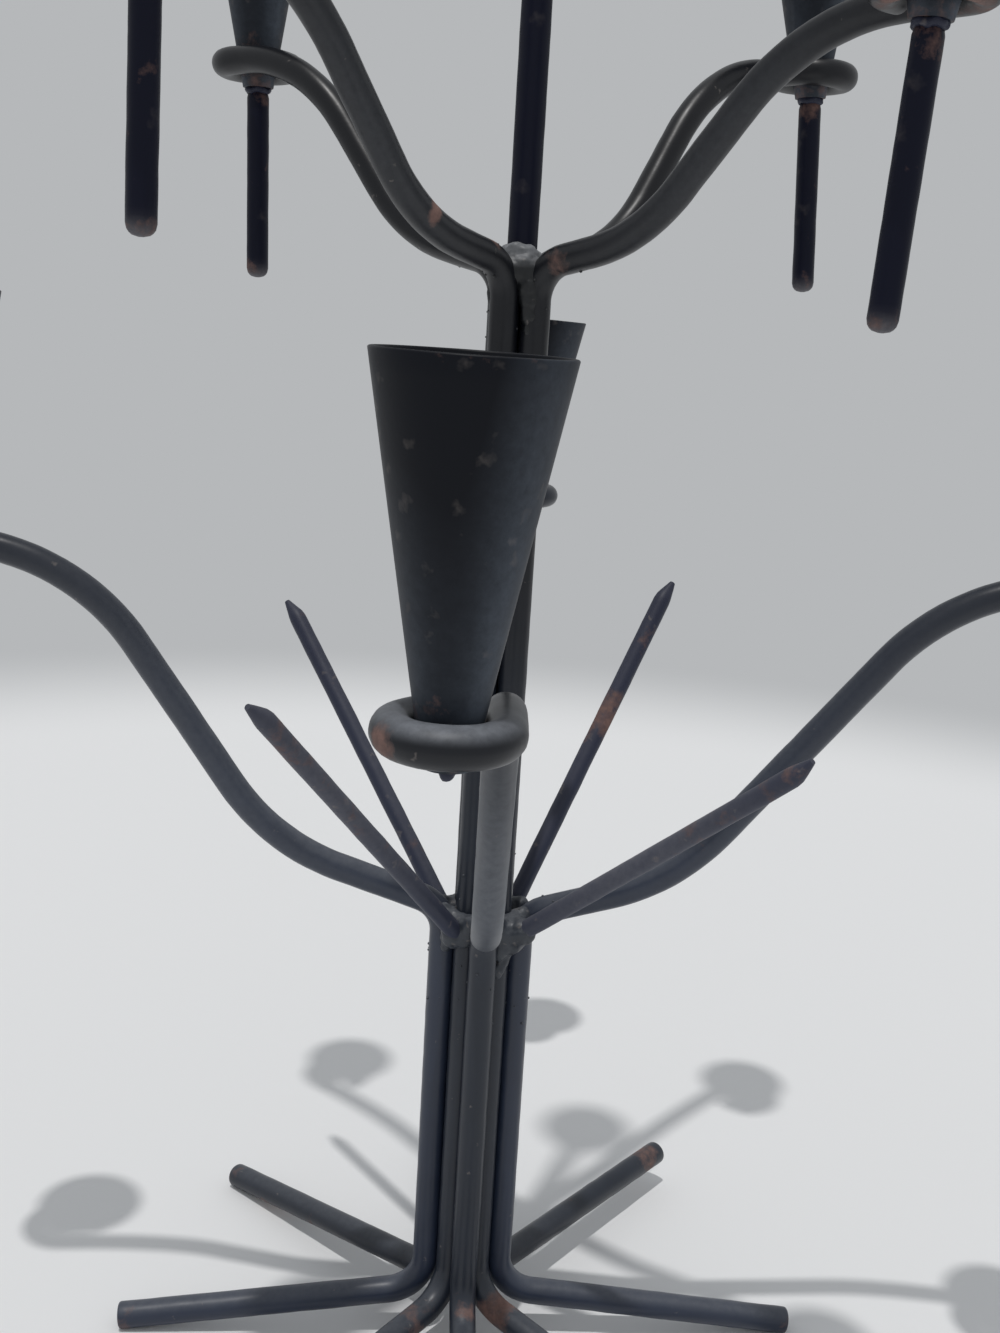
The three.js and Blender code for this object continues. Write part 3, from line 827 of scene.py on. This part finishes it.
# %% [markdown]
# ## Straight rods and spikes
# The same tree makes the centre rod, the rods that hang under the upper cups and the spikes. Only the
# girth differs: a hanging rod has a domed end, and a spike runs out to a short point. The points were cut
# with one slanting blow, so each lies at the edge of its rod: at the lower edge, but for one cut from
# below. One spike comes out a little longer than its solid, as it was measured.

# %% A rod along its axis
SPIKE_TIP_DIAMETER = 2.0
POINT_OFF_AXIS = 0.55
LONGER = {"spike_back_left": 3.5}
CUT_FROM_BELOW = ["spike_front_right"]


def straight_rod(node, diameter, edge, finish, slot, point=0.0):
    """A rod along its solid's axis. A point narrows its upper end over that length."""
    low, high = axis_ends(node)
    length = np.linalg.norm(high - low)
    high = high + (high - low) * LONGER.get(node, 0.0) / length
    length += LONGER.get(node, 0.0)
    distances = stations(length, edge)
    shares = rounded_girth(distances, diameter / 2, edge)
    points = resample(np.array([low, high]), distances)
    if point:
        left = np.clip((length - distances) / point, 0, 1)
        tip_share = SPIKE_TIP_DIAMETER / diameter
        taper = tip_share + (1 - tip_share) * left
        shares = np.minimum(shares, taper)
        axis = (high - low) / length
        aside = np.array([0.0, 0.0, 1.0]) - axis[2] * axis
        aside *= (1 if node in CUT_FROM_BELOW else -1) / np.linalg.norm(aside)
        points += np.outer(POINT_OFF_AXIS * diameter / 2 * (1 - taper), aside)
    rod = round_bar(node + "_skin", points, distances, shares, Diameter=diameter * MM, Finish=finish)
    return dressed(rod, slot, node)


# %% Make rods and spikes
DROP_DIAMETER = 8.0
DROP_EDGE = 3.3
SPIKE_DIAMETER = 6.35
SPIKE_EDGE = 0.5
SPIKE_POINT = 7.5

centre_rod = straight_rod("centre_rod", BAR_DIAMETER, BAR_EDGE, rod_paint, "bar_paint")
print(centre_rod.name, "faces:", len(centre_rod.data.polygons))
for corner in CORNERS:
    drop = straight_rod("drop_rod_" + corner, DROP_DIAMETER, DROP_EDGE, rod_paint, "bar_paint")
    weather(drop, "drop_rod")
    spike = straight_rod(
        "spike_" + corner, SPIKE_DIAMETER, SPIKE_EDGE, worn_paint, "worn_paint", point=SPIKE_POINT)
    weather(spike, "spike_" + corner)
    print(drop.name, spike.name, "faces:", len(drop.data.polygons), len(spike.data.polygons))

# %% [markdown]
# ## Sheet cones
# A cup is a cone of 1.2 mm sheet, rolled and welded along one seam. A spun profile gives both walls, the
# round of the cut rim and the closed end at once, which a Solidify on a bare cone wouldn't.

# %% Profile of a cone
SHEET = 1.2
WALL_RINGS = 20
RIM_ROUND = 0.45
RIM_STEPS = 8


def cone_profile(end_radius, rim_radius, height):
    """Radius and height of both walls, from the middle of the end up, over the rim and back down."""
    taper = math.atan((rim_radius - end_radius) / height)
    across = SHEET / math.cos(taper)
    rim_base = height - RIM_ROUND
    levels = np.linspace(0, rim_base, WALL_RINGS)
    outer = [(end_radius + level * math.tan(taper), level) for level in levels]
    inner = [(radius - across, level) for radius, level in outer if level > SHEET]
    rim_outer, rim_inner = outer[-1][0], inner[-1][0]
    rim_middle = (rim_outer + rim_inner) / 2
    half_wall = (rim_outer - rim_inner) / 2
    angles = np.linspace(0, math.pi, RIM_STEPS)[1:-1]
    rim = [(rim_middle + half_wall * math.cos(a), rim_base + RIM_ROUND * math.sin(a)) for a in angles]
    inner_end = end_radius + SHEET * math.tan(taper) - across
    return [(0, 0), *outer, *rim, *reversed(inner), (inner_end, SHEET), (0, SHEET)]


# %% [markdown]
# The seam is a low ridge on the side that faces the stem, and a rolled cone is a little out of round.
# Painted sheen lies on three flanks of each cup, thickest near the narrow end: a painted reflection of the
# bright floor, strongest on the front right and front left flanks. Every flank has one amount for the
# narrow end and one for the rim, and an amount below zero takes sheen away.

# %% Seam and painted sheen of a cone
SEAM_HEIGHT = 0.35
SEAM_WIDTH = 1.6
OUT_OF_ROUND = 0.0035
SHEEN_SPREAD = math.radians(32)
PAINTED_SHEEN_FLANKS = {
    math.radians(-42): (1.3, 0.6),
    math.radians(208): (1.0, -0.3),
    math.radians(-97): (0.35, -0.25),
}


def rolled_radius(radius, angle, seam, has_ridge):
    """Radius of the rolled sheet at an angle. The ridge of the seam shows on the outer wall."""
    off_seam = math.remainder(angle - seam, math.tau) * radius
    ridge = SEAM_HEIGHT * math.exp(-(off_seam / SEAM_WIDTH) ** 2) if has_ridge else 0
    return radius * (1 + OUT_OF_ROUND * math.cos(2 * angle + seam)) + ridge


def flank_sheen(angle, level, height):
    """Amount of painted sheen at an angle round the cone and a level above its narrow end."""
    film_and_sheen = 0.0
    for flank, (at_end, at_rim) in PAINTED_SHEEN_FLANKS.items():
        off_flank = math.remainder(angle - flank, math.tau) / SHEEN_SPREAD
        film_and_sheen += (at_end + (at_rim - at_end) * level / height) * math.exp(-off_flank ** 2)
    return film_and_sheen


# %% [markdown]
# The profile is spun by hand, ring by ring, because every point then knows its angle for the seam and the
# painted sheen. Two single points close the ends.

# %% Faces of a spun cup
CUP_SEGMENTS = 96


def spun_faces(rings):
    """Quads from ring to ring, and a fan on each end. Points 0 and 1 are the middles of the ends."""
    faces = []
    for ring_number in range(rings - 1):
        for segment in range(CUP_SEGMENTS):
            here = 2 + ring_number * CUP_SEGMENTS + segment
            beside = 2 + ring_number * CUP_SEGMENTS + (segment + 1) % CUP_SEGMENTS
            faces.append((here, beside, beside + CUP_SEGMENTS, here + CUP_SEGMENTS))
    last = (rings - 1) * CUP_SEGMENTS
    for segment in range(CUP_SEGMENTS):
        here = 2 + segment
        beside = 2 + (segment + 1) % CUP_SEGMENTS
        faces.append((0, beside, here))
        faces.append((1, last + here, last + beside))
    return faces


# %% Spin the cups


def spun_cup(node):
    """A cone cup on the axis of its solid, with its seam towards the stem."""
    low, high = axis_ends(node)
    height = np.linalg.norm(high - low)
    profile = cone_profile(CUP_END_DIAMETER / 2, CUP_RIM_DIAMETER / 2, height)
    seam = math.atan2(-low[1], -low[0])
    top = max(range(len(profile)), key=lambda i: profile[i][1])
    points = [(0, 0, profile[0][1]), (0, 0, profile[-1][1])]
    flank_sheens = [0, 0]
    for number, (radius, level) in enumerate(profile[1:-1], start=1):
        for segment in range(CUP_SEGMENTS):
            angle = math.tau * segment / CUP_SEGMENTS
            wide = rolled_radius(radius, angle, seam, 1 < number < top)
            points.append((wide * math.cos(angle), wide * math.sin(angle), level))
            # Painted sheen on the flanks: a painted reflection of the bright floor.
            flank_sheens.append(flank_sheen(angle, level, height) if number < top else 0.0)
    lean = Vector((0, 0, 1)).rotation_difference(Vector(high - low))
    mesh = bpy.data.meshes.new(node + "_skin")
    placed = [(lean @ Vector(point) + Vector(low)) * MM for point in points]
    mesh.from_pydata(placed, [], spun_faces(len(profile) - 2))
    mesh.materials.append(cup_paint)
    mesh.shade_smooth()
    set_attribute(mesh, "along", [point[2] for point in points])
    set_attribute(mesh, "film_and_sheen", flank_sheens)
    cup = shown(node + "_skin", mesh)
    paint_spots(cup, "wear", WORN["cup"])
    return dressed(cup, "cup_paint", node)


cups = [spun_cup(node) for node in cup_nodes]
print("cups:", [(cup.name, len(cup.data.polygons)) for cup in cups[:2]], "and so on")

# %% [markdown]
# ## Weld metal
# Hand welding leaves runs of metal that sag and flow together. Metaballs do just that: balls that come
# close melt into one skin. A sphere with a displacement would stay a sphere. Their grid can't be finer
# than 5 mm at true size, so they are melted a thousand times larger and the mesh is brought down to size.

# %% Melt balls into a bead
# The skin of a ball by itself lies at this share of its radius.
BALL_SHOWN = 0.575
BALL_GRID = 0.6
# Grain and depth of the ripples in millimetres
WELD_RIPPLES = {2.6: 0.4, 1.1: 0.2}


def melted(name, lumps, slot, finish, dust, *nodes):
    """One lumpy bead from balls of weld metal, given as middle and radius in millimetres."""
    family = bpy.data.metaballs.new(name)
    family.resolution = family.render_resolution = BALL_GRID
    for middle, radius in lumps:
        ball = family.elements.new()
        ball.co = Vector(middle)
        ball.radius = radius / BALL_SHOWN
    clump = shown(name + "_clump", family)
    depsgraph = bpy.context.evaluated_depsgraph_get()
    mesh = bpy.data.meshes.new_from_object(clump.evaluated_get(depsgraph))
    bpy.data.objects.remove(clump)
    bpy.data.metaballs.remove(family)
    skin = [(vertex.co.copy(), vertex.normal.copy()) for vertex in mesh.vertices]
    for vertex, (point, outward) in zip(mesh.vertices, skin):
        ripple = sum(depth * noise.noise(point / grain) for grain, depth in WELD_RIPPLES.items())
        vertex.co = (point + outward * ripple) * MM
    set_attribute(mesh, "dust", np.full(len(mesh.vertices), dust))
    mesh.materials.clear()
    mesh.materials.append(finish)
    mesh.shade_smooth()
    return dressed(shown(name, mesh), slot, *nodes)


# %% [markdown]
# Each corner of the lower junction holds the root of a spike between two arms. Two lumps carry the root,
# and a low heap fills the corner and laps up the arms. At one corner far more was laid on: the root of
# the spike is buried, and a run goes down along the front bar.

# %% Lumps in a corner
WELD_HEIGHT = 164.5
# Lumps are given as distance out, distance across, height and radius. Root lumps count from the root.
ROOT_LUMPS = [(0.3, 0.0, -2.2, 3.6), (2.2, -0.6, 1.4, 2.6)]
CORNER_LUMPS = [
    (11.0, 0.0, 0.8, 5.0), (11.4, 4.6, 1.5, 3.9), (11.4, -4.6, 2.0, 3.9), (12.8, 6.8, 4.2, 2.5),
    (12.6, -7.0, 4.6, 2.5), (11.8, 3.4, -3.0, 3.0), (12.4, -3.8, -4.5, 3.0), (12.8, -4.8, -8.0, 1.9),
]


def around(azimuth, radius, across, height):
    """A point out from the stem in a direction, and across it, in millimetres."""
    out = level_way(azimuth)
    side = np.array([-out[1], out[0], 0.0])
    return radius * out + across * side + np.array([0.0, 0.0, height])


def heap(azimuth, height, lumps, start=0.0):
    """Middles and radii of lumps that lie out from the stem at a height."""
    placed = []
    for out, across, rise, radius in lumps:
        placed.append((around(azimuth, start + out, across, height + rise), radius))
    return placed


# %% A buried root
ROOT_COVER = [3.0, 5.8]
COVER_RADIUS = 4.2
RUN_HEAD = (13.4, -3.6, -1.0, 3.6)
RUN_TOP = (12.0, 4.0, -2.5, 2.3)
RUN_DROPS = 6
RUN_ACROSS = 8.6
RUN_DOWN = 12.0


def buried_root(azimuth, root, tip):
    """More lumps that cover the root of a spike and run down from it."""
    along_spike = (tip - root) / np.linalg.norm(tip - root)
    lumps = [(root + cover * along_spike, COVER_RADIUS) for cover in ROOT_COVER]
    lumps += heap(azimuth, WELD_HEIGHT, [RUN_HEAD])
    out, across, rise, radius = RUN_TOP
    for share in np.linspace(0, 1, RUN_DROPS):
        height = WELD_HEIGHT + rise - RUN_DOWN * share
        lumps.append((around(azimuth, out, across - RUN_ACROSS * share, height), radius))
    return lumps


# %% Corner welds
RUN_CORNER = "front_right"
CORNER_DUST = -0.12

for number, corner in enumerate(CORNERS):
    azimuth = math.pi / 4 + math.pi / 2 * number
    root, tip = axis_ends("spike_" + corner)
    lumps = heap(azimuth, root[2], ROOT_LUMPS, start=math.hypot(root[0], root[1]))
    lumps += heap(azimuth, WELD_HEIGHT, CORNER_LUMPS)
    if corner == RUN_CORNER:
        lumps += buried_root(azimuth, root, tip)
    node = "corner_weld_" + corner
    weld = melted(node + "_skin", lumps, "weld_metal", weld_paint, CORNER_DUST, node)
    print(weld.name, len(weld.data.polygons), "faces")

# %% [markdown]
# The crown was laid in rounds: fat drops that close the fork of the upper arms, then thinner ones that
# climb the centre rod, higher on one side. Between the arms the metal ran down in a web that thins out.
# Dust lies on the crown, and a pale film on its top.

# %% Crown weld
CROWN_DROPS = 8
CROWN_CLIMB = 2.2
HIGH_SIDE = math.radians(225)
FORK_LUMP = (6.0, 0.0, 0.0, 3.8)
FORK_CLIMB_SHARE = 0.3
ROD_LUMP = (4.6, 0.0, 0.0, 2.7)
ROD_LUMP_RISE = 3.2
ROD_LUMP_TURN = 0.3
WEB_LUMPS = [
    (6.2, 3.8, -1.0, 3.2), (6.2, -3.4, -1.6, 3.2), (6.6, 2.6, -5.5, 3.9),
    (6.8, 2.8, -10.0, 3.3), (7.0, 3.0, -14.5, 2.8), (7.0, 3.0, -19.0, 2.3),
]
CROWN_DUST = 0.2
CROWN_FILM = 0.55
FILM_DEPTH = 5.0

rod_foot = axis_ends("centre_rod")[0][2]
crown_lumps = []
for number in range(CROWN_DROPS):
    azimuth = math.tau * number / CROWN_DROPS
    climb = CROWN_CLIMB * math.cos(azimuth - HIGH_SIDE)
    crown_lumps += heap(azimuth, rod_foot + FORK_CLIMB_SHARE * climb, [FORK_LUMP])
    crown_lumps += heap(azimuth + ROD_LUMP_TURN, rod_foot + ROD_LUMP_RISE + climb, [ROD_LUMP])
    if number % 2 == 0:
        crown_lumps += heap(azimuth, rod_foot, WEB_LUMPS)
crown = melted("crown_weld_skin", crown_lumps, "weld_metal", weld_paint, CROWN_DUST, "crown_weld")
heights = np.array([vertex.co.z for vertex in crown.data.vertices]) / MM
near_top = np.clip((heights - rod_foot) / FILM_DEPTH, 0, 1)
set_attribute(crown.data, "film_and_sheen", CROWN_FILM * near_top)
print(crown.name, len(crown.data.polygons), "faces")

# %% [markdown]
# Under each lower cup hangs the drip that was left when its end was welded shut. The hanging rods were
# welded to the upper cups all round, in a thin collar that sags a little unevenly.

# %% Drips
DRIP_SINK = 0.2
DRIP_RADIUS = 1.9
DRIP_LEAN = 0.2
DRIP_END = 1.3
DRIP_END_RADIUS = 1.4

for side in SIDES:
    node = "lower_cup_tip_" + side
    low, high = (np.array(corner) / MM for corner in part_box(node))
    middle = (low + high) / 2
    drip = [
        ((middle[0], middle[1], high[2] - DRIP_SINK), DRIP_RADIUS),
        ((middle[0] + DRIP_LEAN, middle[1], low[2] + DRIP_END), DRIP_END_RADIUS),
    ]
    melted(node + "_skin", drip, "worn_paint", worn_paint, 0.0, node)
print("drips:", len(SIDES))

# %% Collars
COLLAR_DROPS = 12
COLLAR_RADIUS = 3.5
COLLAR_DROP = 1.3
COLLAR_SAG = 0.3

for corner in CORNERS:
    rod_top = axis_ends("drop_rod_" + corner)[1]
    collar = []
    for number in range(COLLAR_DROPS):
        sag = COLLAR_SAG + COLLAR_SAG * (number % 3)
        drop_place = around(math.tau * number / COLLAR_DROPS, COLLAR_RADIUS, 0.0, -sag) + rod_top
        collar.append((drop_place, COLLAR_DROP))
    melted("drop_weld_" + corner, collar, "weld_metal", worn_paint, 0.0)
print("collars:", len(CORNERS))

# %% [markdown]
# ## Spatter
# Arc welding throws small beads that stick to the bars near a joint. Geometry Nodes scatter them: points
# on the skin of the bars within reach of a junction, a small ball on each, drawn with a fixed seed.

# %% Spatter tree
LEAST_BEAD = 0.35

spatter_tree, given = new_tree("weld_spatter", {
    "Junction": ("Vector", (0.0, 0.0, 0.0)),
    "Reach": ("Float", 0.03),
    "Density": ("Float", 8000.0),
    "Bead": ("Float", 0.6 * MM),
    "Seed": ("Int", 4),
    "Finish": ("Material", None),
})
place = add_node(spatter_tree, "GeometryNodeInputPosition")
gap = add_node(spatter_tree, "ShaderNodeVectorMath", {0: place, 1: given["Junction"]}, operation="DISTANCE")
close = add_node(spatter_tree, "FunctionNodeCompare", {
    "A": gap, "B": given["Reach"]}, data_type="FLOAT", operation="LESS_THAN")
spread = add_node(spatter_tree, "GeometryNodeDistributePointsOnFaces", {
    "Mesh": given["Geometry"], "Selection": close, "Density": given["Density"], "Seed": given["Seed"]})
ball = add_node(spatter_tree, "GeometryNodeMeshIcoSphere", {"Radius": given["Bead"], "Subdivisions": 1})
size = add_node(spatter_tree, "FunctionNodeRandomValue", {
    "Min_001": LEAST_BEAD, "Max_001": 1.0, "Seed": given["Seed"]}, data_type="FLOAT")
beads = add_node(spatter_tree, "GeometryNodeInstanceOnPoints", {
    "Points": spread, "Instance": ball, "Scale": size})
end_tree(spatter_tree, beads, given["Finish"])

# %% [markdown]
# The beads may land on any bar, so the skins of all bars are joined in one passing mesh for each junction.

# %% Scatter spatter


def spatter(name, height, reach):
    """Beads of spatter on the bars round one junction."""
    together = bmesh.new()
    for bar in bars:
        together.from_mesh(bar.data)
    skin_mesh = bpy.data.meshes.new(name)
    together.to_mesh(skin_mesh)
    together.free()
    values = {"Junction": (0.0, 0.0, height * MM), "Reach": reach * MM, "Finish": weld_paint}
    return dressed(grown(name, skin_mesh, spatter_tree, values), "weld_metal")


lower_spatter = spatter("lower_spatter", height=158.0, reach=36.0)
upper_spatter = spatter("upper_spatter", height=372.0, reach=32.0)
print("spatter faces:", len(lower_spatter.data.polygons), len(upper_spatter.data.polygons))

# %% [markdown]
# ## Floor and light
# The floor is pale paper that fades into an even grey, so that no edge shows from any side. A wall behind
# would show its own edges when the thing is looked at from elsewhere.

# %% Paper
FADE_START = 0.8
FADE_END = 1.15
SKY = linear("#b6b8ba")

# Matt paper: it takes a soft shadow and has no gloss that would draw the eye.
paper = bpy.data.materials.new("matt_paper")
paper.use_nodes = True
paper_tree = paper.node_tree
sheet = paper_tree.nodes["Principled BSDF"]
feed(paper_tree, sheet, {"Base Color": linear("#e9eaeb"), "Roughness": 0.9, "Specular IOR Level": 0.2})
spot = add_node(paper_tree, "ShaderNodeTexCoord").outputs["Object"]
distance = add_node(paper_tree, "ShaderNodeVectorMath", {0: spot}, operation="LENGTH")
fade = add_node(paper_tree, "ShaderNodeMapRange", {
    "Value": distance, "From Min": FADE_START, "From Max": FADE_END}, interpolation_type="SMOOTHSTEP")
haze = add_node(paper_tree, "ShaderNodeEmission", {"Color": SKY, "Strength": 1.0})
mixed = add_node(paper_tree, "ShaderNodeMixShader", {0: fade, 1: sheet, 2: haze})
feed(paper_tree, paper_tree.nodes["Material Output"], {"Surface": mixed})
print("floor fades out between", FADE_START, "and", FADE_END, "m from the stem")

# %% Floor
FLOOR_SIZE = 12.0

edge = FLOOR_SIZE / 2
floor_corners = [(-edge, -edge, 0), (edge, -edge, 0), (edge, edge, 0), (-edge, edge, 0)]
floor_mesh = bpy.data.meshes.new("floor")
floor_mesh.from_pydata(floor_corners, [], [(0, 1, 2, 3)])
floor_mesh.materials.append(paper)
floor = shown("floor", floor_mesh)
floor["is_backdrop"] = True
print("floor is", FLOOR_SIZE, "m wide")

# %% [markdown]
# One soft lamp high above and a little in front gives the short shadow, and an even grey sky fills it in.

# %% Sky and lamp
LAMP_COLOUR = linear("#fffdfb")[:3]
LAMP_STRENGTH = 1.33
LAMP_SOFTNESS = math.radians(1.2)
SHADOW_SHIFT = Vector((0.089, 0.19, -1.0))

world = bpy.data.worlds.new("even_sky")
bpy.context.scene.world = world
world.use_nodes = True
feed(world.node_tree, world.node_tree.nodes["Background"], {"Color": SKY})
lamp_data = bpy.data.lights.new("high_lamp", "SUN")
lamp_data.energy = LAMP_STRENGTH
lamp_data.color = LAMP_COLOUR
lamp_data.angle = LAMP_SOFTNESS
lamp = shown("high_lamp", lamp_data)
lamp.rotation_euler = SHADOW_SHIFT.to_track_quat("-Z", "Y").to_euler()
bpy.context.scene.view_settings.view_transform = "Standard"
print("lamp shines along", [round(part, 2) for part in SHADOW_SHIFT.normalized()])

# %% [markdown]
# ## Camera
# The picture was taken from close by, a little above the lower cups, with the camera tipped down and
# slightly rolled. The lens is written as a focal length on a 36 mm high frame.

# %% Place the camera
CAMERA_PLACE = Vector((-37.4, -478.3, 369.1))
HEADING = math.radians(4.584)
TIP_DOWN = math.radians(13.337)
ROLL = math.radians(3.465)
FRAME_HEIGHT = 36.0
FOCAL_LENGTH = 39.7
NEAR_END = 0.01

camera_data = bpy.data.cameras.new("camera")
camera_data.sensor_fit = "VERTICAL"
camera_data.sensor_height = FRAME_HEIGHT
camera_data.lens = FOCAL_LENGTH
camera_data.clip_start = NEAR_END
camera = shown("camera", camera_data)
turned = (Matrix.Rotation(-HEADING, 4, "Z") @ Matrix.Rotation(math.pi / 2 - TIP_DOWN, 4, "X")
          @ Matrix.Rotation(ROLL, 4, "Z"))
camera.matrix_world = Matrix.Translation(CAMERA_PLACE * MM) @ turned
bpy.context.scene.camera = camera
print("camera at", [round(part * MM, 3) for part in CAMERA_PLACE], "m")

# %% [markdown]
# ## Sizes
# The sizes of the visual model and of the solids are printed side by side at the end.

# %% Print both sizes
low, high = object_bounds()
print("visual size in mm:", [round(side / MM, 1) for side in high - low], "CAD:", cad_size)
